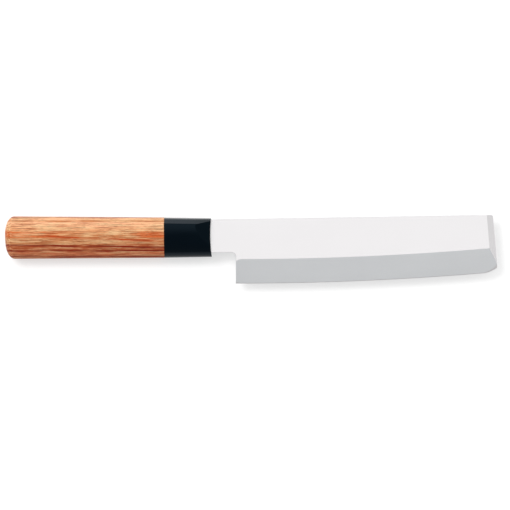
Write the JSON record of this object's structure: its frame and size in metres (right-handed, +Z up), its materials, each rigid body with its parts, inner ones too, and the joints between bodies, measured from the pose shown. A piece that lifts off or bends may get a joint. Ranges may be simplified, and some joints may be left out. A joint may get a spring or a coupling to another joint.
{
  "type": "usuba knife",
  "caption": "Japanese vegetable knife: straight single-bevel blade with a hollow-ground back, hidden tang, black ferrule and chestnut-section laminated wood handle.",
  "frame": {"origin": "under the middle of the knife's box, on the surface that it lies on", "axes": "+X from the butt of the handle to the tip, +Y from the edge to the spine, +Z up, out of the ground face"},
  "size_m": [0.3102, 0.0432, 0.0205],
  "materials": {
    "blade_steel": "fine satin flat, slightly darker ground bevel",
    "ferrule_resin": "moulded black resin, half gloss",
    "handle_wood": "resin-filled laminated wood, polished satin",
    "cured_epoxy": "cast amber resin, unpolished"
  },
  "bodies": {
    "root": {"blade": "blade_steel", "ferrule": "ferrule_resin", "handle": "handle_wood", "tang_epoxy": "cured_epoxy"}
  },
  "joints": []
}
